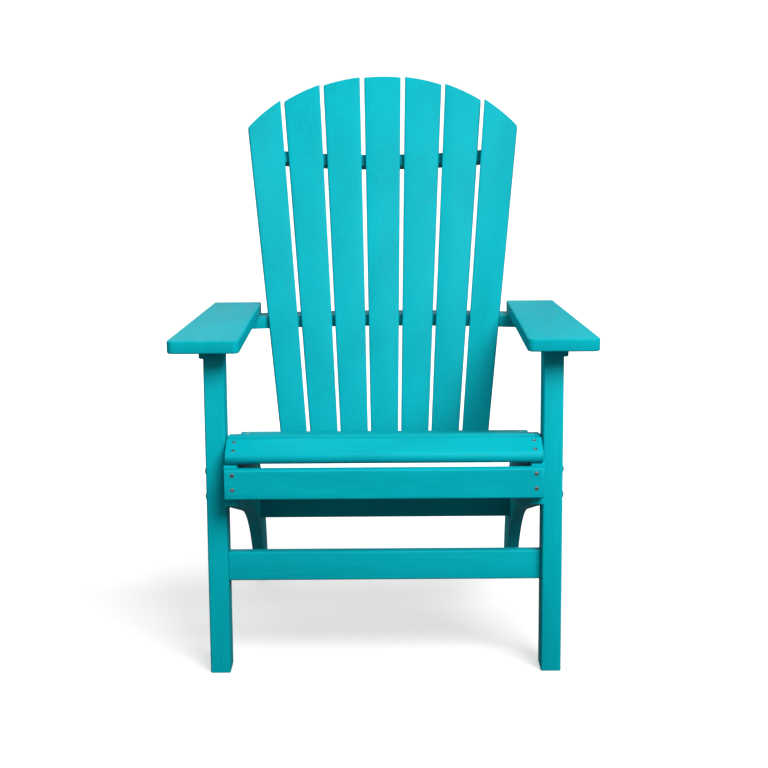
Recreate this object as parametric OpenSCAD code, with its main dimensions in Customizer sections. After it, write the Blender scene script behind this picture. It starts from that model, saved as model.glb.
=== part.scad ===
// Adirondack chair built from plastic lumber boards and stainless screws.
// X runs across the seat, Y from the front to the back, Z up from the floor.
// The working coordinates below put Y = 0 at the front face of the front legs;
// each piece is then moved so that the origin is the centre of the footprint.

/* [Boards] */
// Thickness of the frame boards: stringers, rails, arms, stretcher and brace
frame_t = 22.2; // [18:0.1:26]
// Thickness of the seat and back slats
slat_t = 22.2; // [18:0.1:26]
// Width of the seat slats, the apron, the stretcher and the brace
slat_w = 50.8; // [42:0.1:61]

/* [Seat] */
// Length of the seat slats, across the seat
seat_len = 532; // [440:1:650]
// How far a stringer's outer face stands past the ends of the seat slats
slat_inset = 2.7; // [0:0.1:6]
// Width of the tilted front slat, whose front edge is fully rounded
front_slat_w = 53; // [45:0.5:65]
// Height of the front slat's rear top edge above the floor
seat_h = 414.5; // [340:0.5:500]
// Distance of that edge behind the front face of the legs
seat_crest_y = 5; // [0:0.5:20]
// Tilt of each seat slat from front to back: a positive slat falls to the back
seat_tilts = [-22.5, 8, 14, 13, 10, 5]; // [-30:1:20]
// Gap between neighbouring seat slats
seat_gap = 8; // [4:0.5:12]
// Gap between the lower edges of the front slat and the one behind it
crest_gap = 1.5; // [1:0.5:6]
// How far the second slat's front edge stands above the front slat's rear edge
crest_rise = 1; // [0:0.5:4]

/* [Stringers] */
// How far a stringer reaches ahead of the front legs; the apron covers its end
stringer_reach = 37.8; // [30:0.1:50]
// Height of a stringer at its front end
stringer_front_h = 66; // [55:1:90]
// Slope of the underside below the seat, in degrees
underside_slope = 15.6; // [12:0.1:20]
// Radius of the underside's curve into the rear leg
underside_r = 445; // [400:1:520]
// Radius of the rear leg's outer curve
rear_leg_r = 366; // [310:1:400]
// Where the underside's curve starts, ahead of the last slat's rear edge
underside_run = 9; // [0:1:60]

/* [Front legs] */
// Width of a leg, seen from the front
leg_w = 34.3; // [28:0.5:42]
// Depth of a leg, from front to back
leg_d = 58; // [48:0.5:70]

/* [Arms] */
// Height of the top of the arms above the floor
arm_h = 589; // [530:1:660]
// How far an arm runs past the rear edge of the arm rail
arm_past = 2.5; // [0:0.1:20]
// How far an arm overhangs the leg on the outside, at its front end
arm_over = 55.5; // [20:0.1:80]
// How much narrower an arm is at its rear end
arm_narrowing = 30.5; // [0:0.5:60]
// Gap between the outermost back slat and an arm
arm_clear = 13.1; // [6:0.1:30]
// How far an arm reaches ahead of the leg
arm_reach = 50; // [20:1:80]
// Corner radius at the front of an arm
arm_front_r = 12; // [4:0.5:24]
// Corner radius at the rear of an arm
arm_rear_r = 4; // [2:0.5:10]
// Thickness of the support block between a leg and its arm
block_t = 16; // [12:0.5:20]
// Width of the support block
block_w = 41.3; // [38:0.5:50]
// Length of the support block
block_len = 116; // [108:1:150]
// How far the support block reaches ahead of the leg
block_reach = 0; // [0:0.5:10]

/* [Back] */
// Angle of the back from upright, in degrees
recline = 21.5; // [15:0.5:26]
// Length of the middle slat
back_len = 735; // [600:1:850]
// Distance from the last seat slat to the rear face of the back, at the bottom
back_setback = 41; // [36:0.1:56]
// Width of a back slat at its lower end
back_low_w = 51; // [42:0.5:62]
// Width of a back slat at the upper rail
back_up_w = 67.5; // [56:0.5:82]
// How much narrower the outermost slat on each side is
outer_trim = 2.5; // [0:0.5:6]
// Gap between neighbouring back slats at the lower rail
low_gap = 5.8; // [3:0.1:12]
// Gap between neighbouring back slats at the upper rail
up_gap = 8.4; // [4:0.1:16]
// Radius of the back's curve at the upper rail
up_curve_r = 740; // [560:5:900]
// Share of that curve by which each slat is turned towards the middle
turn_share = 0.3; // [0:0.05:0.6]
// Radius of the arch along the top of the back
arch_r = 344; // [330:1:420]

/* [Rails] */
// Depth of the lower back rail
low_rail_d = 55; // [46:1:66]
// Depth of the arm rail
arm_rail_d = 61; // [50:1:72]
// Radius of the arm rail's front edge
arm_rail_r = 960; // [800:5:1200]
// How far the arm rail runs on past the inner faces of the legs
arm_rail_past = 31.3; // [16:0.1:50]
// Depth of the upper rail
up_rail_d = 24; // [20:0.5:34]
// Height of the upper rail's middle, along the slats from their lower end
up_rail_v = 569; // [480:1:620]

/* [Stretcher and brace] */
// Height of the stretcher's lower edge above the floor
stretcher_z = 161; // [80:1:240]
// Set-back of the stretcher behind the front face of the legs
stretcher_y = 15; // [4:0.5:30]
// How far the rear brace's lower edge is below the foot of the back
brace_drop = 171.4; // [140:0.1:190]
// How far the brace sits behind the middle of the rear leg at its height
brace_back = 12.6; // [0:0.1:30]

/* [Fasteners] */
// Diameter of a screw's shank
screw_d = 4.5; // [3:0.1:5]
// Diameter of a screw's head
screw_head_d = 7.2; // [6:0.1:9]
// Height of a screw's head
screw_head_h = 2.6; // [2:0.1:4]
// How far the heads stand out of the surface
head_proud = 0.5; // [0:0.1:1]
// Distance between the two screws at each end of a slat
screw_gap = 25.4; // [20:0.1:30]
// How far the apron's pair of screws sits above the middle of the board
apron_screw_rise = 4; // [0:0.5:6]
// Distance between the two screws that hold a back slat to a rail
back_screw_gap = 26; // [18:0.5:30]
// Depth to which a long screw bites into the second board
bite = 26; // [18:1:30]
// Depth to which the apron's screws bite, short of the front slat's screws
apron_bite = 18; // [14:0.5:20]
// Diameter of a leg bolt
bolt_d = 8; // [6:0.5:10]
// Diameter of a leg bolt's domed head
bolt_head_d = 18; // [14:0.5:20]
// Height of a leg bolt's head
bolt_head_h = 4.4; // [3:0.1:5]
// Distance between a leg's two bolts
bolt_gap = 44; // [36:1:50]
// Washer diameter
washer_d = 20; // [16:0.5:22]
// Washer thickness
washer_t = 1.6; // [1:0.1:2.5]
// Height of a nut
nut_h = 6.5; // [5:0.1:8]
// Width of a nut across its flats
nut_flats = 13; // [11:0.5:17]

/* [Hidden] */
$fn = 48;

turquoise = [0, 0.7, 0.76];
shade = [0, 0.55, 0.6];
steel = [0.78, 0.79, 0.8];

LEFT = -1;
RIGHT = 1;
SIDES = [LEFT, RIGHT];
clear = 0.1;        // radial clearance of every screw and bolt hole
over = 1;           // how far a cutter runs past the face it opens
pocket = 16;        // how far a head's cutter runs out, to open a sunk head's pocket
CORNER_STEPS = 8;   // flats in a rounded corner of an arm
CURVE_STEPS = 40;   // flats in a long curve of a stringer
edge_d = 13;        // distance of a screw from the end of its board
tip_cover = 4;      // material left over the tip of a screw in a rail
slat_cover = 5;     // material left over the tip of a screw in a back slat
block_cover = 6;    // material left over the tip of a screw in an arm
low_sink = 8;       // how deep the slat screws' heads lie in the lower rail
arm_sink = 5;       // how deep they lie in the arm rail
up_sink = 3;        // how deep they lie in the upper rail
PAIR = [0.25, 0.75];        // places of two fasteners, as shares of a board's width
RAIL_PAIR = [0.3, 0.75];    // places of the lower rail's end screws, as shares of its depth
bolt_rise = 20;     // height of the lower bolt above the stringer's underside
bolt_tail = 2;      // how far a bolt stands out of its nut
facet_spare = 3;    // how far the stringer's rear facet runs on past the lower rail
blank_spare = 60;   // length of a back slat that is cut off at the arch
seat_cut = 1;       // how far a rail reaches past the slats' rear faces before it is cut
far = 2000;         // larger than the chair, for half-space cutters

// Side view of the seat: each slat's top runs from seat_top(k) to seat_top_end(k).
SEAT_COUNT = len(seat_tilts);
LAST = SEAT_COUNT - 1;
function slope_dir(a) = [cos(a), -sin(a)];
function under_dir(a) = [-sin(a), -cos(a)];
function seat_width(k) = k == 0 ? front_slat_w : slat_w;
function seat_step(k) = k == 1
    ? [slat_t * (sin(-seat_tilts[0]) + sin(seat_tilts[1])) + crest_gap, crest_rise]
    : seat_gap * slope_dir((seat_tilts[k - 1] + seat_tilts[k]) / 2);
function seat_top(k) = k == 0
    ? [seat_crest_y, seat_h] - front_slat_w * slope_dir(seat_tilts[0])
    : seat_top_end(k - 1) + seat_step(k);
function seat_top_end(k) = seat_top(k) + seat_width(k) * slope_dir(seat_tilts[k]);
function seat_under(k) = seat_top(k) + slat_t * under_dir(seat_tilts[k]);
function seat_under_end(k) = seat_top_end(k) + slat_t * under_dir(seat_tilts[k]);

// The front end: the facet under the front slat runs on to the stringer's end.
nose_under = seat_under(0);
stringer_front_y = -stringer_reach;
apron_front_y = stringer_front_y - slat_t;
stringer_front_top = nose_under[1] - (nose_under[0] - stringer_front_y) * tan(-seat_tilts[0]);
stringer_front_low = stringer_front_top - stringer_front_h;

// Across the chair.
stringer_out = seat_len / 2 + slat_inset;
stringer_in = stringer_out - frame_t;
stringer_mid = stringer_out - frame_t / 2;
seat_screw_x = seat_len / 2 - edge_d;
leg_in = stringer_out;
leg_mid = leg_in + leg_w / 2;
leg_out = leg_in + leg_w;

// The back stands on the facet that carries the lower rail.
seat_end = seat_under_end(LAST);
base_y = seat_top_end(LAST)[0] + back_setback;
base_z = seat_end[1] - (base_y - seat_end[0]) * tan(recline);
facet_run = (low_rail_d + facet_spare) * cos(recline);
facet_end = [base_y + facet_run, base_z - facet_run * tan(recline)];

// Curves of the stringer.
rear_leg_c = facet_end - rear_leg_r * [sin(recline), cos(recline)];
under_y = seat_top_end(LAST)[0] - underside_run;
under_z = stringer_front_low - (under_y - stringer_front_y) * tan(underside_slope);
underside_c = [under_y, under_z] - underside_r * [sin(underside_slope), cos(underside_slope)];
rear_foot_a = asin(-rear_leg_c[1] / rear_leg_r);
underside_foot_a = asin(-underside_c[1] / underside_r);
foot_rear_y = rear_leg_c[0] + rear_leg_r * cos(rear_foot_a);

// Heights of the arm assembly.
arm_low = arm_h - frame_t;
leg_h = arm_low - block_t;
arm_rail_z = arm_low - frame_t;
arm_rail_mid = arm_rail_z + frame_t / 2;
arm_rail_y = base_y + (arm_rail_mid - base_z) * tan(recline);

// Back slats, numbered from -HALF on the left to HALF on the right.
BACK_COUNT = 7;
HALF = (BACK_COUNT - 1) / 2;
low_pitch = back_low_w + low_gap;
up_pitch = back_up_w + up_gap;
function up_turn(i) = i * up_pitch / up_curve_r * 180 / PI;
function up_sag(i) = up_curve_r * (1 - cos(up_turn(i)));
function slat_base(i) = [i * low_pitch, base_y, base_z];
function slat_up(i) = [up_curve_r * sin(up_turn(i)),
    base_y + up_rail_v * sin(recline) - up_sag(i) * cos(recline),
    base_z + up_rail_v * cos(recline) + up_sag(i) * sin(recline)];
function slat_run(i) = slat_up(i) - slat_base(i);
function slat_recline(i) = atan2(slat_run(i)[1], slat_run(i)[2]);
function slat_fan(i) = asin(slat_run(i)[0] / norm(slat_run(i)));
function slat_turn(i) = -turn_share * up_turn(i);
back_taper = (back_up_w - back_low_w) / up_rail_v;
back_blank = back_len + blank_spare;
function back_width(i, v) = back_low_w - (abs(i) == HALF ? outer_trim : 0) + back_taper * v;
up_rail_len = 2 * (slat_up(HALF)[0] + back_screw_gap / 2 + edge_d);

// Across the arms: the inner edge keeps clear of the back, the outer edge overhangs the leg.
function level_v(i, z) = (z - base_z) / (cos(slat_recline(i)) * cos(slat_fan(i)));
arm_top_v = level_v(HALF, arm_h);
arm_in = slat_base(HALF)[0] + arm_top_v * sin(slat_fan(HALF))
    + back_width(HALF, arm_top_v) / 2 * cos(slat_fan(HALF)) * cos(slat_turn(HALF)) + arm_clear;
arm_out = leg_out + arm_over;
arm_screw_x = leg_in;
arm_rail_rear_r = arm_rail_r + arm_rail_d;
arm_front_y = -arm_reach;
arm_rear_y = arm_rail_y - arm_rail_r + sqrt(pow(arm_rail_rear_r, 2) - pow(arm_screw_x, 2))
    + arm_past;

// The origin is under the middle of the chair's overall depth.
front_y = min(apron_front_y - head_proud, seat_top(0)[0], arm_front_y);
top_rear_y = base_y + back_len * sin(recline);
origin_y = (front_y + max(foot_rear_y, top_rear_y)) / 2;
module placed() translate([0, -origin_y, 0]) children();

// Turns a side view, drawn with Y across and Z up, into a board of thickness t from x.
module side_board(x, t) translate([x, 0, 0]) rotate([90, 0, 90]) linear_extrude(t) children();

// Points along an arc, and a corner of an outline rounded by one.
function arc(c, r, a0, a1, n) = [for (j = [0:n]) let (a = a0 + (a1 - a0) * j / n)
    c + r * [cos(a), sin(a)]];
function unit(v) = v / norm(v);
function heading(v) = atan2(v[1], v[0]);
function rounded_corner(before, p, after, r) = let (
    a = unit(before - p),
    b = unit(after - p),
    half = acos(a * b) / 2,
    c = p + unit(a + b) * r / sin(half),
    start = heading(p + a * r / tan(half) - c))
    arc(c, r, start, start + 180 - 2 * half, CORNER_STEPS);
function rounded_outline(points, radii) = let (n = len(points))
    [for (i = [0:n - 1]) for (q = rounded_corner(points[(i + n - 1) % n], points[i],
        points[(i + 1) % n], radii[i])) q];

// A screw points down from the face at z = 0. The cutter is its hole.
module screw(length, proud) {
    translate([0, 0, -screw_head_h]) cylinder(h = screw_head_h + proud, d = screw_head_d);
    translate([0, 0, -length]) cylinder(h = length - screw_head_h, d = screw_d);
}
module screw_hole(length) {
    translate([0, 0, -screw_head_h])
        cylinder(h = screw_head_h + pocket, d = screw_head_d + 2 * clear);
    translate([0, 0, -length]) cylinder(h = length, d = screw_d + 2 * clear);
}

// Places where the screws go, each with z = 0 on the face that its head sits in.
seat_screw_len = slat_t + bite;
apron_screw_len = slat_t + apron_bite;
module apron_screw_places() {
    for (side = SIDES) for (s = [-0.5, 0.5])
        translate([side * seat_screw_x, apron_front_y,
            stringer_front_top - slat_w / 2 + apron_screw_rise + s * screw_gap])
            rotate([90, 0, 0]) children();
}
module seat_frame(k) translate([0, seat_top(k)[0], seat_top(k)[1]])
    rotate([-seat_tilts[k], 0, 0]) children();
module seat_screw_places(k) {
    rear = seat_width(k) - slat_w / 2;
    seat_frame(k) for (side = SIDES) for (s = [-0.5, 0.5])
        translate([side * seat_screw_x, rear + s * screw_gap, 0]) children();
}
module slat_frame(i) translate(slat_base(i)) rotate([-slat_recline(i), 0, 0])
    rotate([0, slat_fan(i), 0]) rotate([0, 0, slat_turn(i)]) children();
module back_frame() translate([0, base_y, base_z]) rotate([-recline, 0, 0]) children();
module slat_screw_places(i, level, depth, lean) {
    slat_frame(i) translate([0, 0, level]) rotate([lean, 0, 0])
        for (s = [-0.5, 0.5]) translate([s * back_screw_gap, depth, 0])
            rotate([-90, 0, 0]) children();
}
up_screw_depth = up_rail_d - up_sink;
arm_screw_depth = arm_rail_d - arm_sink;
low_screw_depth = low_rail_d - low_sink;
slat_bite = slat_t - slat_cover;
low_level = frame_t / 2;
function up_level(i) = norm(slat_run(i));
module low_places(i) slat_screw_places(i, low_level, low_screw_depth, 0) children();
module arm_places(i) slat_screw_places(i, level_v(i, arm_rail_mid), arm_screw_depth,
    slat_recline(i)) children();
module up_places(i) slat_screw_places(i, up_level(i), up_screw_depth, 0) children();
module rail_end_places() {
    back_frame() for (side = SIDES) for (s = RAIL_PAIR)
        translate([side * stringer_mid, s * low_rail_d, frame_t]) children();
}
arm_screw_len = 2 * frame_t - tip_cover;
block_screw_len = block_t + frame_t - block_cover;
module arm_rear_places(side) translate([side * arm_screw_x, arm_rear_y - edge_d, arm_h])
    children();
module block_places(side) {
    for (y = [leg_d + edge_d, block_len - block_reach - edge_d])
        translate([side * leg_mid, y, leg_h]) rotate([180, 0, 0]) children();
}
module leg_top_places(side) {
    for (s = PAIR) translate([side * leg_mid, s * leg_d, arm_low]) children();
}
module stretcher_places(side) {
    for (s = PAIR)
        translate([side * leg_out, stretcher_y + frame_t / 2, stretcher_z + s * slat_w])
            rotate([0, side * 90, 0]) children();
}
brace_z = base_z - brace_drop;
brace_mid = brace_z + slat_w / 2;
function reach_at(c, r, z) = c[0] + sqrt(pow(r, 2) - pow(z - c[1], 2));
brace_y = (reach_at(rear_leg_c, rear_leg_r, brace_mid)
    + reach_at(underside_c, underside_r, brace_mid) - frame_t) / 2 + brace_back;
module brace_places(side) {
    for (s = PAIR)
        translate([side * stringer_out, brace_y + frame_t / 2, brace_z + s * slat_w])
            rotate([0, side * 90, 0]) children();
}
module bolt_places(side) {
    middle = stringer_front_low - (leg_d / 2 - stringer_front_y) * tan(underside_slope)
        + bolt_gap / 2 + bolt_rise;
    for (s = [-0.5, 0.5])
        translate([side * leg_out, leg_d / 2, middle + s * bolt_gap])
            rotate([0, side * 90, 0]) children();
}
bolt_grip = leg_w + frame_t;
module bolt_hole() translate([0, 0, -bolt_grip - over])
    cylinder(h = bolt_grip + 2 * over, d = bolt_d + 2 * clear);

// Stringer: seat side and rear leg in one board.
module stringer_outline() polygon(concat(
    [[stringer_front_y, stringer_front_low], [stringer_front_y, stringer_front_top]],
    [for (k = [0:LAST]) for (p = [seat_under(k), seat_under_end(k)]) p],
    arc(rear_leg_c, rear_leg_r, 90 - recline, rear_foot_a, CURVE_STEPS),
    arc(underside_c, underside_r, underside_foot_a, 90 - underside_slope, CURVE_STEPS)));
module stringer(side) color(turquoise) placed() difference() {
    side_board(side == RIGHT ? stringer_in : -stringer_out, frame_t) stringer_outline();
    apron_screw_places() screw_hole(apron_screw_len);
    for (k = [0:LAST]) seat_screw_places(k) screw_hole(seat_screw_len);
    rail_end_places() screw_hole(frame_t + bite);
    brace_places(side) screw_hole(frame_t + bite);
    bolt_places(side) bolt_hole();
}

module front_leg(side) color(turquoise) placed() difference() {
    translate([side == RIGHT ? leg_in : -leg_out, 0, 0]) cube([leg_w, leg_d, leg_h]);
    bolt_places(side) bolt_hole();
    stretcher_places(side) screw_hole(leg_w + bite);
    leg_top_places(side) screw_hole(block_t + bite);
}

module front_stretcher() color(turquoise) placed() difference() {
    translate([-leg_in, stretcher_y, stretcher_z]) cube([2 * leg_in, frame_t, slat_w]);
    for (side = SIDES) stretcher_places(side) screw_hole(leg_w + bite);
}

module rear_brace() color(shade) placed() difference() {
    translate([-stringer_in, brace_y, brace_z]) cube([2 * stringer_in, frame_t, slat_w]);
    for (side = SIDES) brace_places(side) screw_hole(frame_t + bite);
}

module front_apron() color(turquoise) placed() difference() {
    translate([-seat_len / 2, apron_front_y, stringer_front_top - slat_w])
        cube([seat_len, slat_t, slat_w]);
    apron_screw_places() screw_hole(apron_screw_len);
}

module seat_slat(k) color(turquoise) placed() difference() {
    seat_frame(k) translate([-seat_len / 2, 0, 0]) rotate([90, 0, 90])
        linear_extrude(seat_len) seat_profile(k);
    seat_screw_places(k) screw_hole(seat_screw_len);
}
module seat_profile(k) {
    nose = k == 0 ? slat_t / 2 : 0;
    translate([nose, -slat_t]) square([seat_width(k) - nose, slat_t]);
    translate([nose, -slat_t / 2]) circle(nose);
}

// Back slats: tapered boards, fanned, turned to follow the curve and cut to one arch.
module slat_blank(i, start) {
    low_w = back_width(i, start);
    end_w = back_width(i, back_blank);
    slat_frame(i) rotate([90, 0, 0]) linear_extrude(slat_t)
        polygon([[-low_w / 2, start], [low_w / 2, start],
            [end_w / 2, back_blank], [-end_w / 2, back_blank]]);
}
module back_arch() back_frame() rotate([90, 0, 0]) translate([0, 0, -far / 2])
    linear_extrude(far) {
        translate([0, back_len - arch_r]) circle(arch_r, $fn = 180);
        translate([-arch_r, -far]) square([2 * arch_r, far + back_len - arch_r]);
    }
module back_slat(i) color(turquoise) placed() difference() {
    intersection() {
        slat_blank(i, 0);
        back_arch();
    }
    low_places(i) screw_hole(low_screw_depth + slat_bite);
    arm_places(i) screw_hole(arm_screw_depth + slat_bite);
    up_places(i) screw_hole(up_screw_depth + slat_bite);
}

// Curved rail: a strip between two arcs whose front edge is hollow towards the sitter.
// Every rail starts seat_cut ahead of the slats' rear faces and is cut flat for each slat.
module curved_strip(radius, depth, length) intersection() {
    translate([0, -radius]) difference() {
        circle(radius + depth, $fn = 240);
        circle(radius - seat_cut, $fn = 240);
    }
    translate([-length / 2, -radius]) square([length, 2 * radius]);
}
module slat_seats() for (i = [-HALF:HALF]) slat_blank(i, -2 * frame_t);

module lower_back_rail() color(shade) placed() difference() {
    back_frame() translate([-stringer_out, -seat_cut, 0])
        cube([2 * stringer_out, low_rail_d + seat_cut, frame_t]);
    slat_seats();
    for (i = [-HALF:HALF]) low_places(i) screw_hole(low_screw_depth + slat_bite);
    rail_end_places() screw_hole(frame_t + bite);
}

module arm_rail() color(shade) placed() difference() {
    translate([0, arm_rail_y, arm_rail_z]) linear_extrude(frame_t)
        curved_strip(arm_rail_r, arm_rail_d, 2 * (leg_in + arm_rail_past));
    slat_seats();
    for (i = [-HALF:HALF]) arm_places(i) screw_hole(arm_screw_depth + slat_bite);
    for (side = SIDES) arm_rear_places(side) screw_hole(arm_screw_len);
}

module upper_back_rail() color(shade) placed() difference() {
    back_frame() translate([0, 0, up_rail_v - frame_t / 2]) linear_extrude(frame_t)
        curved_strip(up_curve_r, up_rail_d, up_rail_len);
    slat_seats();
    for (i = [-HALF:HALF]) up_places(i) screw_hole(up_screw_depth + slat_bite);
}

module arm(side) color(turquoise) placed() difference() {
    mirror([side == RIGHT ? 0 : 1, 0, 0]) translate([0, 0, arm_low])
        linear_extrude(frame_t) polygon(rounded_outline(
            [[arm_in, arm_front_y], [arm_out, arm_front_y],
                [arm_out - arm_narrowing, arm_rear_y], [arm_in, arm_rear_y]],
            [arm_front_r, arm_front_r, arm_rear_r, arm_rear_r]));
    arm_rear_places(side) screw_hole(arm_screw_len);
    block_places(side) screw_hole(block_screw_len);
}

module arm_block(side) color(turquoise) placed() difference() {
    translate([side == RIGHT ? leg_in : -leg_in - block_w, -block_reach, leg_h])
        cube([block_w, block_len, block_t]);
    block_places(side) screw_hole(block_screw_len);
    leg_top_places(side) screw_hole(block_t + bite);
}

// Fasteners: each group is one node of separate solids.
module apron_screws() color(steel) placed() apron_screw_places()
    screw(apron_screw_len, head_proud);
module seat_slat_screws() color(steel) placed() for (k = [0:LAST])
    seat_screw_places(k) screw(seat_screw_len, head_proud);
module lower_rail_slat_screws() color(steel) placed() for (i = [-HALF:HALF])
    low_places(i) screw(low_screw_depth + slat_bite, 0);
module arm_rail_slat_screws() color(steel) placed() for (i = [-HALF:HALF])
    arm_places(i) screw(arm_screw_depth + slat_bite, 0);
module upper_rail_slat_screws() color(steel) placed() for (i = [-HALF:HALF])
    up_places(i) screw(up_screw_depth + slat_bite, 0);
module lower_rail_end_screws() color(steel) placed() rail_end_places()
    screw(frame_t + bite, head_proud);
module arm_rear_screws() color(steel) placed() for (side = SIDES)
    arm_rear_places(side) screw(arm_screw_len, head_proud);
module arm_block_screws() color(steel) placed() for (side = SIDES)
    block_places(side) screw(block_screw_len, head_proud);
module leg_top_screws() color(steel) placed() for (side = SIDES)
    leg_top_places(side) screw(block_t + bite, 0);
module stretcher_screws() color(steel) placed() for (side = SIDES)
    stretcher_places(side) screw(leg_w + bite, head_proud);
module brace_screws() color(steel) placed() for (side = SIDES)
    brace_places(side) screw(frame_t + bite, head_proud);

// Carriage bolt: a domed head outside the leg, a washer and a nut inside the stringer.
dome_r = (pow(bolt_head_d / 2, 2) + pow(bolt_head_h, 2)) / (2 * bolt_head_h);
module bolt() {
    intersection() {
        translate([0, 0, bolt_head_h - dome_r]) sphere(dome_r, $fn = 64);
        cylinder(h = 2 * bolt_head_h, d = bolt_head_d + over);
    }
    translate([0, 0, -bolt_grip - washer_t - nut_h - bolt_tail])
        cylinder(h = bolt_grip + washer_t + nut_h + bolt_tail, d = bolt_d);
}
module washer() translate([0, 0, -bolt_grip - washer_t]) difference() {
    cylinder(h = washer_t, d = washer_d);
    translate([0, 0, -over]) cylinder(h = washer_t + 2 * over, d = bolt_d + 2 * clear);
}
module nut() translate([0, 0, -bolt_grip - washer_t - nut_h]) difference() {
    cylinder(h = nut_h, d = nut_flats / cos(30), $fn = 6);
    translate([0, 0, -over]) cylinder(h = nut_h + 2 * over, d = bolt_d + 2 * clear);
}
module leg_bolts() color(steel) placed() for (side = SIDES) bolt_places(side) bolt();
module leg_washers() color(steel) placed() for (side = SIDES) bolt_places(side) washer();
module leg_nuts() color(steel) placed() for (side = SIDES) bolt_places(side) nut();

stringer(LEFT);  // stringer_left
stringer(RIGHT);  // stringer_right
front_leg(LEFT);  // front_leg_left
front_leg(RIGHT);  // front_leg_right
front_stretcher();
rear_brace();
front_apron();
seat_slat(0);  // seat_slat_1
seat_slat(1);  // seat_slat_2
seat_slat(2);  // seat_slat_3
seat_slat(3);  // seat_slat_4
seat_slat(4);  // seat_slat_5
seat_slat(5);  // seat_slat_6
lower_back_rail();
arm_rail();
upper_back_rail();
back_slat(-3);  // back_slat_1
back_slat(-2);  // back_slat_2
back_slat(-1);  // back_slat_3
back_slat(0);  // back_slat_4
back_slat(1);  // back_slat_5
back_slat(2);  // back_slat_6
back_slat(3);  // back_slat_7
arm(LEFT);  // arm_left
arm(RIGHT);  // arm_right
arm_block(LEFT);  // arm_block_left
arm_block(RIGHT);  // arm_block_right
apron_screws();
seat_slat_screws();
lower_rail_slat_screws();
arm_rail_slat_screws();
upper_rail_slat_screws();
lower_rail_end_screws();
arm_rear_screws();
arm_block_screws();
leg_top_screws();
stretcher_screws();
brace_screws();
leg_bolts();
leg_washers();
leg_nuts();
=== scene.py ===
import math

import bmesh
import bpy
from bpy.props import FloatProperty, FloatVectorProperty, IntProperty, PointerProperty
from mathutils import Matrix, Vector


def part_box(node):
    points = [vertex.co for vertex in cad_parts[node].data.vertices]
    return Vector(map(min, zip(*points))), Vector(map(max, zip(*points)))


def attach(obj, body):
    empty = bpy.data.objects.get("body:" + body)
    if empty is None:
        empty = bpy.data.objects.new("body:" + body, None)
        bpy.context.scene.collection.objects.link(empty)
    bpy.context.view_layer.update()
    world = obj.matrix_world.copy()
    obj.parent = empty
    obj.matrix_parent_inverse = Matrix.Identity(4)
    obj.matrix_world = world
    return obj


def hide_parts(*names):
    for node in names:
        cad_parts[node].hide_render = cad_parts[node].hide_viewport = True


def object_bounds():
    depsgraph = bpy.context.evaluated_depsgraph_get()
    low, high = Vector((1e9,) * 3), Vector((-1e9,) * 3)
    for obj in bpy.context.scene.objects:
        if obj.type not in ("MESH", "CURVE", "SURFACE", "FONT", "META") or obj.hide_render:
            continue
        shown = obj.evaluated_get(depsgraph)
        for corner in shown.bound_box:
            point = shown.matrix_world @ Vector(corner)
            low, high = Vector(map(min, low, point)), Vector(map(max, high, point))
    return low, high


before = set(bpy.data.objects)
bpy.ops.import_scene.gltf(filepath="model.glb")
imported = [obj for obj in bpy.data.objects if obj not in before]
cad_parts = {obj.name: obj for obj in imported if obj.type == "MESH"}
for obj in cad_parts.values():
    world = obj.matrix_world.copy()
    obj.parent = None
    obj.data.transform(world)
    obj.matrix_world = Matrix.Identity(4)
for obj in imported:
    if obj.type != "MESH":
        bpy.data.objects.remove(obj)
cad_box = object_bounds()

bl_info = {
    "name": "Adirondack Chair",
    "version": (1, 0, 0),
    "blender": (4, 5, 0),
    "location": "View3D > Sidebar > Chair",
    "description": "Builds the boards, the fasteners and the studio of a garden chair",
    "category": "Add Mesh",
}

BODY = "root"

# Nodes that are made alike.
SEAT_SLATS = ["seat_slat_%d" % k for k in range(1, 7)]
BACK_SLATS = ["back_slat_%d" % k for k in range(1, 8)]
SCREW_GROUPS = [
    "apron_screws", "seat_slat_screws", "lower_rail_slat_screws", "arm_rail_slat_screws",
    "upper_rail_slat_screws", "lower_rail_end_screws", "arm_rear_screws", "arm_block_screws",
    "leg_top_screws", "stretcher_screws", "brace_screws",
]
BOLT_NODES = ["leg_bolts", "leg_washers", "leg_nuts"]

# The axis along which a board's streaks run.
ALONG_X, ALONG_Y, ALONG_Z = 0, 1, 2

# Corners of a loose CAD mesh that are nearer than this are one corner.
WELD = 2e-6
# Strips of an eased edge that are thinner than this are dropped.
THIN_STRIP = 1e-6
# Faces that turn less than this are one flat face, and faces that turn more than
# SMOOTH_TURN meet in a crisp edge.
FLAT_TURN = math.radians(0.4)
SMOOTH_TURN = math.radians(32)

# Sockets of Blender's Mix and Random Value nodes that share their name with others.
MIX_FIRST, MIX_SECOND, MIX_RESULT = 6, 7, 2
RANDOM_MOST, RANDOM_RESULT = 3, 1


# ---------------------------------------------------------------- settings


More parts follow.
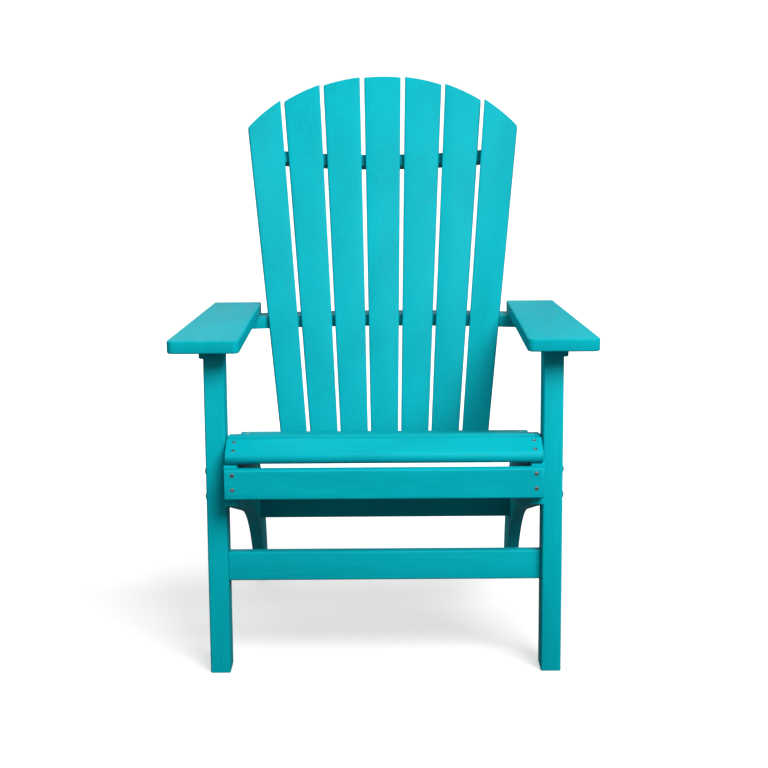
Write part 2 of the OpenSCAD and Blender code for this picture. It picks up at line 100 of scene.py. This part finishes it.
class ChairBoardSettings(bpy.types.PropertyGroup):
    """How the boards are finished."""

    edge_ease: FloatProperty(
        name="Edge easing", description="Radius of the eased long edges of the boards",
        default=0.0030, min=0.0005, max=0.006, unit="LENGTH", subtype="DISTANCE")
    end_ease: FloatProperty(
        name="End easing", description="Radius of the barely broken edges of the sawn ends",
        default=0.0006, min=0.0002, max=0.003, unit="LENGTH", subtype="DISTANCE")
    rail_ease: FloatProperty(
        name="Rail easing", description="Radius of the eased edges of the rails behind the back",
        default=0.0012, min=0.0003, max=0.003, unit="LENGTH", subtype="DISTANCE")
    ease_steps: IntProperty(
        name="Easing steps", description="Strips across an eased edge",
        default=4, min=1, max=8)
    lumber_colour: FloatVectorProperty(
        name="Lumber", description="Main colour of the plastic lumber",
        default=(0.0, 0.385, 0.450), size=3, min=0.0, max=1.0, subtype="COLOR")
    streak_colour: FloatVectorProperty(
        name="Streaks", description="Colour of the faint lighter streaks along a board",
        default=(0.0, 0.425, 0.490), size=3, min=0.0, max=1.0, subtype="COLOR")
    shade_colour: FloatVectorProperty(
        name="Mottle", description="Colour of the faint darker patches",
        default=(0.0, 0.340, 0.400), size=3, min=0.0, max=1.0, subtype="COLOR")


class ChairFastenerSettings(bpy.types.PropertyGroup):
    """How the screws and bolts are made."""

    recess_width: FloatProperty(
        name="Recess width", description="Width of the square drive recess in a screw head",
        default=0.0027, min=0.001, max=0.004, unit="LENGTH", subtype="DISTANCE")
    recess_depth: FloatProperty(
        name="Recess depth", description="Depth of the square drive recess",
        default=0.0016, min=0.0005, max=0.0022, unit="LENGTH", subtype="DISTANCE")
    spin_seed: IntProperty(
        name="Turn seed", description="Seed of the angle at which each screw stopped",
        default=7, min=0, max=1000)
    steel_colour: FloatVectorProperty(
        name="Steel", description="Colour of the stainless screws and bolts",
        default=(0.40, 0.47, 0.50), size=3, min=0.0, max=1.0, subtype="COLOR")


class ChairStageSettings(bpy.types.PropertyGroup):
    """Camera, floor and lights."""

    camera_reach: FloatProperty(
        name="Camera distance", description="Distance of the camera ahead of the front legs",
        default=2.790, min=1.0, max=8.0, unit="LENGTH", subtype="DISTANCE")
    camera_height: FloatProperty(
        name="Camera height", description="Height of the camera above the floor",
        default=0.99892, min=0.2, max=3.0, unit="LENGTH", subtype="DISTANCE")
    camera_side: FloatProperty(
        name="Camera side step", description="How far the camera stands right of the middle",
        default=0.00758, min=-1.0, max=1.0, unit="LENGTH", subtype="DISTANCE")
    camera_pitch: FloatProperty(
        name="Camera pitch", description="How far the camera looks down",
        default=math.radians(10.011), min=0.0, max=1.2, unit="ROTATION", subtype="ANGLE")
    camera_yaw: FloatProperty(
        name="Camera yaw", description="How far the camera turns to the right",
        default=math.radians(-0.145), min=-1.0, max=1.0, unit="ROTATION", subtype="ANGLE")
    camera_roll: FloatProperty(
        name="Camera roll", description="How far the camera leans about its own axis",
        default=math.radians(-0.406), min=-0.2, max=0.2, unit="ROTATION", subtype="ANGLE")
    lens: FloatProperty(
        name="Lens", description="Focal length in millimetres on a 36 mm sensor",
        default=79.05, min=20.0, max=200.0, unit="CAMERA")
    floor_colour: FloatVectorProperty(
        name="Floor", description="Colour of the plain pale floor",
        default=(0.5, 0.5, 0.5), size=3, min=0.0, max=1.0, subtype="COLOR")
    floor_glow: FloatProperty(
        name="Floor glow", description="How much light the floor under the chair gives of itself",
        default=0.55, min=0.0, max=2.0)
    wall_glow: FloatProperty(
        name="Backdrop glow", description="How much light the backdrop gives of itself",
        default=1.0, min=0.0, max=2.0)
    sky_light: FloatProperty(
        name="Surround light", description="Strength of the even light from above and around",
        default=0.45, min=0.0, max=5.0)
    under_light: FloatProperty(
        name="Under light", description="Strength of the even light from below",
        default=0.10, min=0.0, max=5.0)
    key_light: FloatProperty(
        name="Key light", description="Power of the soft light above and right of the camera",
        default=420.0, min=0.0, max=2000.0, unit="POWER")
    rear_light: FloatProperty(
        name="Rear light", description="Power of the soft light behind the chair",
        default=22.0, min=0.0, max=1000.0, unit="POWER")


# ---------------------------------------------------------------- materials


def node_of(tree, kind, **inputs):
    """Adds a shader node and sets its unlinked inputs by name."""
    node = tree.nodes.new(kind)
    for name, value in inputs.items():
        node.inputs[name].default_value = value
    return node


def new_material(name):
    """(material, its node tree, its main shader)."""
    material = bpy.data.materials.new(name)
    material.use_nodes = True
    tree = material.node_tree
    return material, tree, tree.nodes["Principled BSDF"]


def stretched_noise(tree, coords, cross, along, axis, detail=3.0, offset=0.0):
    """Noise whose grains are long in one direction. cross and along are grains per metre."""
    scale = [cross, cross, cross]
    scale[axis] = along
    mapping = node_of(tree, "ShaderNodeMapping", Scale=scale, Location=(offset, offset, offset))
    noise = node_of(tree, "ShaderNodeTexNoise", Scale=1.0, Detail=detail, Roughness=0.55)
    tree.links.new(coords.outputs["Object"], mapping.inputs["Vector"])
    tree.links.new(mapping.outputs["Vector"], noise.inputs["Vector"])
    return noise.outputs["Fac"]


def ramp(tree, factor, low, high, at_low=0.0, at_high=1.0):
    """Turns the range from low to high into the range from at_low to at_high."""
    node = node_of(tree, "ShaderNodeMapRange", **{
        "From Min": low, "From Max": high, "To Min": at_low, "To Max": at_high})
    tree.links.new(factor, node.inputs["Value"])
    return node.outputs["Result"]


def mix_colours(tree, factor, first, second):
    """first and second are colours or sockets."""
    node = tree.nodes.new("ShaderNodeMix")
    node.data_type = "RGBA"
    tree.links.new(factor, node.inputs["Factor"])
    for value, socket in ((first, node.inputs[MIX_FIRST]), (second, node.inputs[MIX_SECOND])):
        if isinstance(value, bpy.types.NodeSocket):
            tree.links.new(value, socket)
        else:
            socket.default_value = (*value, 1.0)
    return node.outputs[MIX_RESULT]


def lumber_material(axis):
    """Plastic lumber: satin, with faint streaks along the board and fine pores."""
    name = "turquoise_lumber_" + "xyz"[axis]
    if name in bpy.data.materials:
        return bpy.data.materials[name]
    s = bpy.context.scene.chair_boards
    material, tree, shader = new_material(name)
    coords = tree.nodes.new("ShaderNodeTexCoord")

    mottle = stretched_noise(tree, coords, 16.0, 4.0, axis, detail=2.0)
    streak = stretched_noise(tree, coords, 260.0, 14.0, axis, detail=4.0, offset=3.0)
    speck = stretched_noise(tree, coords, 900.0, 420.0, axis, detail=2.0, offset=7.0)
    streak_share, speck_share, speck_height = 0.5, 0.45, 0.8
    smooth, rough = 0.46, 0.6
    base = mix_colours(tree, ramp(tree, mottle, 0.35, 0.65), s.shade_colour,
                       s.lumber_colour)
    streaked = mix_colours(tree, ramp(tree, streak, 0.42, 0.72, 0.0, streak_share), base,
                           s.streak_colour)
    dotted = mix_colours(tree, ramp(tree, speck, 0.62, 0.78, 0.0, speck_share), streaked,
                         s.shade_colour)
    tree.links.new(dotted, shader.inputs["Base Color"])
    tree.links.new(ramp(tree, streak, 0.3, 0.7, smooth, rough), shader.inputs["Roughness"])
    # Nearly no mirror shine, so that the boards keep their depth of colour in white light.
    shader.inputs["Specular IOR Level"].default_value = 0.06

    height = tree.nodes.new("ShaderNodeMath")
    height.operation = "ADD"
    tree.links.new(streak, height.inputs[0])
    tree.links.new(ramp(tree, speck, 0.2, 0.8, 0.0, speck_height), height.inputs[1])
    bump = node_of(tree, "ShaderNodeBump", Strength=0.14, Distance=0.0006)
    tree.links.new(height.outputs[0], bump.inputs["Height"])
    tree.links.new(bump.outputs["Normal"], shader.inputs["Normal"])
    return material


def steel_material():
    """Stainless steel with fine turning marks and a little uneven polish."""
    name = "stainless_screws"
    if name in bpy.data.materials:
        return bpy.data.materials[name]
    s = bpy.context.scene.chair_fasteners
    material, tree, shader = new_material(name)
    coords = tree.nodes.new("ShaderNodeTexCoord")
    brush = stretched_noise(tree, coords, 2600.0, 600.0, ALONG_X, detail=2.0)
    patch = stretched_noise(tree, coords, 300.0, 300.0, ALONG_X, detail=1.0, offset=5.0)
    dullness = 0.72
    smooth, rough = 0.26, 0.42
    dull = [dullness * c for c in s.steel_colour]
    tree.links.new(mix_colours(tree, ramp(tree, patch, 0.3, 0.7), dull, s.steel_colour),
                   shader.inputs["Base Color"])
    tree.links.new(ramp(tree, brush, 0.25, 0.75, smooth, rough), shader.inputs["Roughness"])
    shader.inputs["Metallic"].default_value = 1.0
    bump = node_of(tree, "ShaderNodeBump", Strength=0.15, Distance=0.0001)
    tree.links.new(brush, bump.inputs["Height"])
    tree.links.new(bump.outputs["Normal"], shader.inputs["Normal"])
    return material


def dress(obj, material):
    """Gives an object this one material."""
    obj.data.materials.clear()
    obj.data.materials.append(material)


# ---------------------------------------------------------------- boards


def joined_copy(node):
    """A bmesh of a board with its loose triangles merged into flat faces."""
    bm = bmesh.new()
    bm.from_mesh(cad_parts[node].data)
    bmesh.ops.remove_doubles(bm, verts=bm.verts, dist=WELD)
    bmesh.ops.dissolve_limit(bm, angle_limit=FLAT_TURN, verts=bm.verts, edges=bm.edges)
    return bm


def outline_edges(bm, keep, shortest=0.0007, sharp=math.radians(20)):
    """Long outside corners of a board: the rims of its screw holes are left sharp."""
    return [e for e in bm.edges if len(e.link_faces) == 2 and e.is_convex
            and e.calc_length() > shortest and e.calc_face_angle(0) > sharp and keep(e)]


def direction(edge):
    """The unit vector along an edge."""
    return (edge.verts[1].co - edge.verts[0].co).normalized()


def round_over(bm, edges, radius, steps):
    """Rounds these edges with an arc of so many strips."""
    bmesh.ops.bevel(bm, geom=edges, offset=radius, offset_type="OFFSET", segments=steps,
                    profile=0.5, affect="EDGES", clamp_overlap=True)
    bmesh.ops.remove_doubles(bm, verts=bm.verts, dist=THIN_STRIP)


def soften(bm):
    """Smooth shading over the eased edges, with the flat faces kept flat."""
    for face in bm.faces:
        face.smooth = True
    for edge in bm.edges:
        edge.smooth = len(edge.link_faces) != 2 or edge.calc_face_angle(0) < SMOOTH_TURN


def finish_mesh(bm, name):
    """Turns a bmesh into an object of the scene."""
    mesh = bpy.data.meshes.new(name)
    bm.normal_update()
    bm.to_mesh(mesh)
    bm.free()
    obj = bpy.data.objects.new(name, mesh)
    bpy.context.scene.collection.objects.link(obj)
    return obj


def eased_board(node, axis, radius, end_radius=None, keep=lambda edge: True):
    """Replaces a board with one whose outside corners are eased.

    With an end radius, the long edges are rounded first and the sawn ends then get their own.
    """
    bm = joined_copy(node)
    steps = bpy.context.scene.chair_boards.ease_steps
    edges = outline_edges(bm, keep)
    if not edges:
        raise RuntimeError("no outside corners found on " + node)
    if end_radius is None:
        round_over(bm, edges, radius, steps)
    else:
        along, across, end_steps = 0.95, 0.6, 2
        grain = direction(max(edges, key=lambda edge: edge.calc_length()))
        round_over(bm, [e for e in edges if abs(direction(e).dot(grain)) > along], radius, steps)
        ends = outline_edges(bm, lambda edge: abs(direction(edge).dot(grain)) < across)
        round_over(bm, ends, end_radius, end_steps)
    soften(bm)
    piece = finish_mesh(bm, node + "_board")
    dress(piece, lumber_material(axis))
    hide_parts(node)
    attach(piece, BODY)


class CHAIR_OT_legs(bpy.types.Operator):
    """Make the front legs, the stretcher, the rear brace and the front apron"""

    bl_idname = "chair.legs"
    bl_label = "Legs and cross boards"

    def execute(self, context):
        s = context.scene.chair_boards
        for side in ("left", "right"):
            eased_board("front_leg_" + side, ALONG_Z, s.edge_ease, s.end_ease)
        for node in ("front_stretcher", "rear_brace", "front_apron"):
            eased_board(node, ALONG_X, s.edge_ease, s.end_ease)
        return {"FINISHED"}


class CHAIR_OT_stringers(bpy.types.Operator):
    """Make the two curved side boards, eased wherever no slat or rail lies on them"""

    bl_idname = "chair.stringers"
    bl_label = "Side boards"

    def execute(self, context):
        ease = context.scene.chair_boards.edge_ease
        rail_gap = 0.004
        behind_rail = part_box("lower_back_rail")[1].y + rail_gap

        def free(edge):
            """True on the underside, and behind the lower back rail on the top side too."""
            middle = (edge.verts[0].co + edge.verts[1].co) / 2
            sideways, downward = 0.5, -0.2
            rim = [f.normal for f in edge.link_faces if abs(f.normal.x) < sideways]
            return len(rim) == 1 and (rim[0].z < downward or middle.y > behind_rail)

        for side in ("left", "right"):
            eased_board("stringer_" + side, ALONG_Y, ease, keep=free)
        return {"FINISHED"}


class CHAIR_OT_seat(bpy.types.Operator):
    """Make the seat slats with eased edges"""

    bl_idname = "chair.seat"
    bl_label = "Seat slats"

    def execute(self, context):
        s = context.scene.chair_boards
        for node in SEAT_SLATS:
            eased_board(node, ALONG_X, s.edge_ease, s.end_ease)
        return {"FINISHED"}


class CHAIR_OT_back(bpy.types.Operator):
    """Make the fanned back slats with eased edges"""

    bl_idname = "chair.back"
    bl_label = "Back slats"

    def execute(self, context):
        s = context.scene.chair_boards
        for node in BACK_SLATS:
            eased_board(node, ALONG_Z, s.edge_ease, 2 * s.end_ease)
        return {"FINISHED"}


class CHAIR_OT_arms(bpy.types.Operator):
    """Make the arms and the blocks under them"""

    bl_idname = "chair.arms"
    bl_label = "Arms"

    def execute(self, context):
        s = context.scene.chair_boards
        for side in ("left", "right"):
            eased_board("arm_" + side, ALONG_Y, s.edge_ease)
            eased_board("arm_block_" + side, ALONG_Y, s.edge_ease, s.end_ease)
        return {"FINISHED"}


class CHAIR_OT_rails(bpy.types.Operator):
    """Make the three rails behind the back"""

    bl_idname = "chair.rails"
    bl_label = "Back rails"

    def execute(self, context):
        ease = context.scene.chair_boards.rail_ease
        shortest = 0.012
        for node in ("lower_back_rail", "arm_rail", "upper_back_rail"):
            eased_board(node, ALONG_X, ease, keep=lambda edge: edge.calc_length() > shortest)
        return {"FINISHED"}


# ---------------------------------------------------------------- fasteners


def islands(bm):
    """The separate solids of a mesh, each as a list of vertex positions."""
    seen, groups = set(), []
    for start in bm.verts:
        if start in seen:
            continue
        stack, group = [start], []
        seen.add(start)
        while stack:
            vert = stack.pop()
            group.append(vert.co.copy())
            for edge in vert.link_edges:
                other = edge.other_vert(vert)
                if other not in seen:
                    seen.add(other)
                    stack.append(other)
        groups.append(group)
    return groups


def screw_axis(points):
    """(centre of the head's outer face, direction out of the head, length, head radius)."""
    cap_depth = 0.0012
    middle = sum(points, Vector()) / len(points)
    far = max(points, key=lambda p: (p - middle).length)
    other = max(points, key=lambda p: (p - far).length)
    # The two caps are discs, so the mean of the points nearest each end lies on the axis.
    # The far points lie on the rims, and each pass straightens the axis.
    axis = (other - far).normalized()
    for _ in range(3):
        spans = [(p - middle).dot(axis) for p in points]
        caps, rims = [], []
        for end in (min(spans), max(spans)):
            rim = [p for p, s in zip(points, spans) if abs(s - end) < cap_depth]
            rims.append(rim)
            caps.append(sum(rim, Vector()) / len(rim))
        axis = (caps[1] - caps[0]).normalized()
    radii = [max((p - cap - axis * (p - cap).dot(axis)).length for p in rim)
             for cap, rim in zip(caps, rims)]
    head = 1 if radii[1] > radii[0] else 0
    out = axis if head == 1 else -axis
    tops = [p.dot(out) for p in points]
    centre = caps[head] + out * (max(tops) - caps[head].dot(out))
    return centre, out, max(tops) - min(tops), radii[head]


def screw_mesh(name, length, radius, recess_w, recess_d):
    """A low domed head with a square recess, on a plain shank with a short point.

    The rows run from the point up to the recess: each is a reach at an angle and a height
    below the top of the head.
    """
    ring = 32
    head_h, shank_r, tip = 0.0026, 0.00225, 0.004
    under_ease, rim_ease = 0.0003, 0.00012
    # Shares of the head's radius, each with its depth below the top.
    dome = ((1.0, 0.00055), (0.95, 0.0003), (0.8, 0.00012), (0.6, 0.00003))

    def square_reach(angle):
        half = recess_w / 2
        return half / max(abs(math.cos(angle)), abs(math.sin(angle)))

    def corner(reach, j, z):
        angle = 2 * math.pi * j / ring
        return (reach(angle) * math.cos(angle), reach(angle) * math.sin(angle), z)

    rows = [
        (lambda a: shank_r * 0.25, -length + 0.0002),
        (lambda a: shank_r, -length + tip),
        (lambda a: shank_r, -head_h),
        (lambda a: radius * 0.96, -head_h),
        (lambda a: radius, -head_h + under_ease),
        *((lambda a, share=share: radius * share, -depth) for share, depth in dome),
        (lambda a: square_reach(a) + rim_ease, 0.0),
        (lambda a: square_reach(a), -rim_ease),
        (lambda a: square_reach(a) * 0.94, -recess_d),
    ]
    bm = bmesh.new()
    loops = [[bm.verts.new(corner(reach, j, z)) for j in range(ring)] for reach, z in rows]
    for low, high in zip(loops, loops[1:]):
        for j in range(ring):
            bm.faces.new((low[j], low[(j + 1) % ring], high[(j + 1) % ring], high[j]))
    bm.faces.new(list(reversed(loops[0])))
    bm.faces.new(loops[-1])
    bmesh.ops.recalc_face_normals(bm, faces=bm.faces)
    soften(bm)
    return finish_mesh(bm, name)


def screw_tree():
    """Geometry Nodes: the screw on every point, turned along its axis, realised."""
    tree = bpy.data.node_groups.new("chair_screws", "GeometryNodeTree")
    sockets = tree.interface
    sockets.new_socket("Points", in_out="INPUT", socket_type="NodeSocketGeometry")
    sockets.new_socket("Screw", in_out="INPUT", socket_type="NodeSocketObject")
    sockets.new_socket("Largest turn", in_out="INPUT", socket_type="NodeSocketFloat")
    sockets.new_socket("Seed", in_out="INPUT", socket_type="NodeSocketInt")
    sockets.new_socket("Finish", in_out="INPUT", socket_type="NodeSocketMaterial")
    sockets.new_socket("Screws", in_out="OUTPUT", socket_type="NodeSocketGeometry")
    add, link = tree.nodes.new, tree.links.new
    given, result = add("NodeGroupInput"), add("NodeGroupOutput")
    source = add("GeometryNodeObjectInfo")
    axis = add("GeometryNodeInputNamedAttribute")
    axis.data_type = "FLOAT_VECTOR"
    axis.inputs["Name"].default_value = "out"
    align = add("FunctionNodeAlignRotationToVector")
    align.axis = "Z"
    place = add("GeometryNodeInstanceOnPoints")
    turn = add("FunctionNodeRandomValue")
    turn.data_type = "FLOAT"
    spin = add("ShaderNodeCombineXYZ")
    rotate = add("GeometryNodeRotateInstances")
    realise = add("GeometryNodeRealizeInstances")
    paint = add("GeometryNodeSetMaterial")
    link(given.outputs["Screw"], source.inputs["Object"])
    link(given.outputs["Points"], place.inputs["Points"])
    link(source.outputs["Geometry"], place.inputs["Instance"])
    link(axis.outputs["Attribute"], align.inputs["Vector"])
    link(align.outputs["Rotation"], place.inputs["Rotation"])
    link(given.outputs["Largest turn"], turn.inputs[RANDOM_MOST])
    link(given.outputs["Seed"], turn.inputs["Seed"])
    link(turn.outputs[RANDOM_RESULT], spin.inputs["Z"])
    link(place.outputs["Instances"], rotate.inputs["Instances"])
    link(spin.outputs["Vector"], rotate.inputs["Rotation"])
    link(rotate.outputs["Instances"], realise.inputs["Geometry"])
    link(realise.outputs["Geometry"], paint.inputs["Geometry"])
    link(given.outputs["Finish"], paint.inputs["Material"])
    link(paint.outputs["Geometry"], result.inputs["Screws"])
    return tree


def set_input(modifier, name, value):
    """Sets a Geometry Nodes input by the identifier of the socket with this name."""
    for item in modifier.node_group.interface.items_tree:
        if item.item_type == "SOCKET" and item.in_out == "INPUT" and item.name == name:
            modifier[item.identifier] = value
            return
    raise KeyError(name)


def screws_for(node, tree, settings):
    """Puts a detailed screw wherever the node holds a plain one."""
    bm = bmesh.new()
    bm.from_mesh(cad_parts[node].data)
    bmesh.ops.remove_doubles(bm, verts=bm.verts, dist=WELD)
    found = [screw_axis(points) for points in islands(bm)]
    bm.free()
    _, _, length, radius = found[0]
    template = screw_mesh(node + "_one", length, radius, settings.recess_width,
                          settings.recess_depth)
    mesh = bpy.data.meshes.new(node + "_points")
    mesh.from_pydata([centre for centre, _, _, _ in found], [], [])
    out = mesh.attributes.new("out", "FLOAT_VECTOR", "POINT")
    out.data.foreach_set("vector", [c for _, outward, _, _ in found for c in outward])
    holder = bpy.data.objects.new(node + "_points", mesh)
    bpy.context.scene.collection.objects.link(holder)
    modifier = holder.modifiers.new("screws", "NODES")
    modifier.node_group = tree
    set_input(modifier, "Screw", template)
    set_input(modifier, "Largest turn", math.pi / 2)
    set_input(modifier, "Seed", settings.spin_seed)
    set_input(modifier, "Finish", steel_material())
    bpy.context.view_layer.update()
    graph = bpy.context.evaluated_depsgraph_get()
    made = bpy.data.meshes.new_from_object(holder.evaluated_get(graph))
    holder.modifiers.remove(modifier)
    piece = bpy.data.objects.new(node + "_driven", made)
    bpy.context.scene.collection.objects.link(piece)
    dress(piece, steel_material())
    for spare in (holder, template):
        bpy.data.objects.remove(spare, do_unlink=True)
    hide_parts(node)
    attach(piece, BODY)


class CHAIR_OT_screws(bpy.types.Operator):
    """Put a screw with a square recess in every screw hole"""

    bl_idname = "chair.screws"
    bl_label = "Screws"

    def execute(self, context):
        tree = screw_tree()
        for node in SCREW_GROUPS:
            screws_for(node, tree, context.scene.chair_fasteners)
        return {"FINISHED"}


class CHAIR_OT_bolts(bpy.types.Operator):
    """Give the leg bolts, their washers and their nuts a steel finish"""

    bl_idname = "chair.bolts"
    bl_label = "Bolts"

    def execute(self, context):
        for node in BOLT_NODES:
            dress(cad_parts[node], steel_material())
        return {"FINISHED"}


# ---------------------------------------------------------------- stage


def floor_material(colour, near_glow, far_glow, near, far):
    """A matt floor whose own glow rises with the distance, so that the backdrop is white."""
    material, tree, shader = new_material("pale_floor")
    coords = tree.nodes.new("ShaderNodeTexCoord")
    cloud = stretched_noise(tree, coords, 0.8, 0.8, ALONG_X, detail=2.0)
    dusty = [0.985 * c for c in colour]
    tree.links.new(mix_colours(tree, ramp(tree, cloud, 0.3, 0.7), dusty, colour),
                   shader.inputs["Base Color"])
    split = tree.nodes.new("ShaderNodeSeparateXYZ")
    tree.links.new(coords.outputs["Object"], split.inputs["Vector"])
    tree.links.new(ramp(tree, split.outputs["Y"], near, far, near_glow, far_glow),
                   shader.inputs["Emission Strength"])
    shader.inputs["Emission Color"].default_value = (1.0, 1.0, 1.0, 1.0)
    shader.inputs["Roughness"].default_value = 0.9
    shader.inputs["Specular IOR Level"].default_value = 0.1
    return material


def sweep_floor(settings, near):
    """A floor that curves up into a wall far behind the chair, glowing more from near on."""
    half, front, back, bend, high, steps = 9.0, -7.0, 5.0, 3.2, 6.0, 16
    glow_run = 0.8
    profile = [(front, 0.0)] + [
        (back + bend * math.sin(a), bend - bend * math.cos(a))
        for a in (math.pi / 2 * j / steps for j in range(steps + 1))] + [(back + bend, high)]
    bm = bmesh.new()
    rows = [[bm.verts.new((x, y, z)) for y, z in profile] for x in (-half, half)]
    for j in range(len(profile) - 1):
        bm.faces.new((rows[0][j], rows[1][j], rows[1][j + 1], rows[0][j + 1]))
    for face in bm.faces:
        face.smooth = True
    floor = finish_mesh(bm, "studio_floor")
    dress(floor, floor_material(settings.floor_colour, settings.floor_glow,
                                settings.wall_glow, near, near + glow_run))
    # The glow whitens the backdrop and doesn't light the chair from below.
    floor.visible_diffuse = False
    floor.visible_glossy = False


def studio_world(upper, lower):
    """Even light from all round, much weaker from below."""
    horizon = 0.15
    world = bpy.data.worlds.new("studio")
    world.use_nodes = True
    tree = world.node_tree
    coords = tree.nodes.new("ShaderNodeTexCoord")
    split = tree.nodes.new("ShaderNodeSeparateXYZ")
    tree.links.new(coords.outputs["Generated"], split.inputs["Vector"])
    tree.links.new(ramp(tree, split.outputs["Z"], -horizon, horizon, lower, upper),
                   tree.nodes["Background"].inputs["Strength"])
    tree.nodes["Background"].inputs["Color"].default_value = (1.0, 1.0, 1.0, 1.0)
    bpy.context.scene.world = world


def area_light(name, place, target, size, power):
    """A white rectangle of light that faces the target."""
    light = bpy.data.lights.new(name, "AREA")
    light.shape = "RECTANGLE"
    light.size, light.size_y = size
    light.energy = power
    obj = bpy.data.objects.new(name, light)
    bpy.context.scene.collection.objects.link(obj)
    obj.location = place
    obj.rotation_euler = (Vector(target) - Vector(place)).to_track_quat("-Z", "Y").to_euler()
    return obj


def studio_camera(s):
    """A camera from its place, pitch, yaw and roll."""
    forward = Vector((math.sin(s.camera_yaw) * math.cos(s.camera_pitch),
                      math.cos(s.camera_yaw) * math.cos(s.camera_pitch),
                      -math.sin(s.camera_pitch)))
    right = Vector((math.cos(s.camera_yaw), -math.sin(s.camera_yaw), 0.0))
    up = right.cross(forward)
    c, n = math.cos(s.camera_roll), math.sin(s.camera_roll)
    turned_right, turned_up = c * right + n * up, c * up - n * right
    matrix = Matrix((turned_right, turned_up, -forward)).transposed().to_4x4()
    leg_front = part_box("front_leg_left")[0].y
    matrix.translation = Vector((s.camera_side, leg_front - s.camera_reach, s.camera_height))
    data = bpy.data.cameras.new("studio_camera")
    data.sensor_width = 36.0
    data.lens = s.lens
    data.clip_end = 60.0
    camera = bpy.data.objects.new("studio_camera", data)
    bpy.context.scene.collection.objects.link(camera)
    camera.matrix_world = matrix
    bpy.context.scene.camera = camera


class CHAIR_OT_stage(bpy.types.Operator):
    """Set up the camera, the pale floor and the soft lights"""

    bl_idname = "chair.stage"
    bl_label = "Stage"

    def execute(self, context):
        scene = context.scene
        s = scene.chair_stage
        studio_camera(s)
        low, high = Vector(cad_box[0]), Vector(cad_box[1])
        middle = (low + high) / 2
        key_place, key_size = (2.0, low.y - 3.7, 4.3), (3.0, 2.6)
        rear_place, rear_size = (-0.6, high.y + 2.4, 2.6), (2.4, 1.6)
        glow_start = high.y - 0.15
        sweep_floor(s, glow_start)
        area_light("key", key_place, middle, key_size, s.key_light)
        area_light("rear", rear_place, middle, rear_size, s.rear_light)
        studio_world(s.sky_light, s.under_light)
        scene.view_settings.view_transform = "Standard"
        scene.view_settings.look = "None"
        return {"FINISHED"}


# ---------------------------------------------------------------- add-on


OPERATORS = (
    CHAIR_OT_legs, CHAIR_OT_stringers, CHAIR_OT_seat, CHAIR_OT_back, CHAIR_OT_arms,
    CHAIR_OT_rails, CHAIR_OT_screws, CHAIR_OT_bolts, CHAIR_OT_stage,
)


class CHAIR_PT_panel(bpy.types.Panel):
    """Lists the chair's settings and the steps that build it"""

    bl_idname = "CHAIR_PT_panel"
    bl_label = "Adirondack Chair"
    bl_space_type = "VIEW_3D"
    bl_region_type = "UI"
    bl_category = "Chair"

    def draw(self, context):
        layout = self.layout
        for group in (context.scene.chair_boards, context.scene.chair_fasteners,
                      context.scene.chair_stage):
            box = layout.box()
            for name in group.__annotations__:
                box.prop(group, name)
        for operator in OPERATORS:
            layout.operator(operator.bl_idname)


SETTINGS = {
    "chair_boards": ChairBoardSettings,
    "chair_fasteners": ChairFastenerSettings,
    "chair_stage": ChairStageSettings,
}


def register():
    """Adds the classes, and the settings to every scene."""
    for cls in (*SETTINGS.values(), *OPERATORS, CHAIR_PT_panel):
        bpy.utils.register_class(cls)
    for name, cls in SETTINGS.items():
        setattr(bpy.types.Scene, name, PointerProperty(type=cls))


def unregister():
    """Takes away what register adds."""
    for name in SETTINGS:
        delattr(bpy.types.Scene, name)
    for cls in reversed((*SETTINGS.values(), *OPERATORS, CHAIR_PT_panel)):
        bpy.utils.unregister_class(cls)


def main():
    """Builds the chair and its stage."""
    register()
    for operator in OPERATORS:
        group, name = operator.bl_idname.split(".")
        getattr(getattr(bpy.ops, group), name)()


if __name__ == "__main__":
    main()
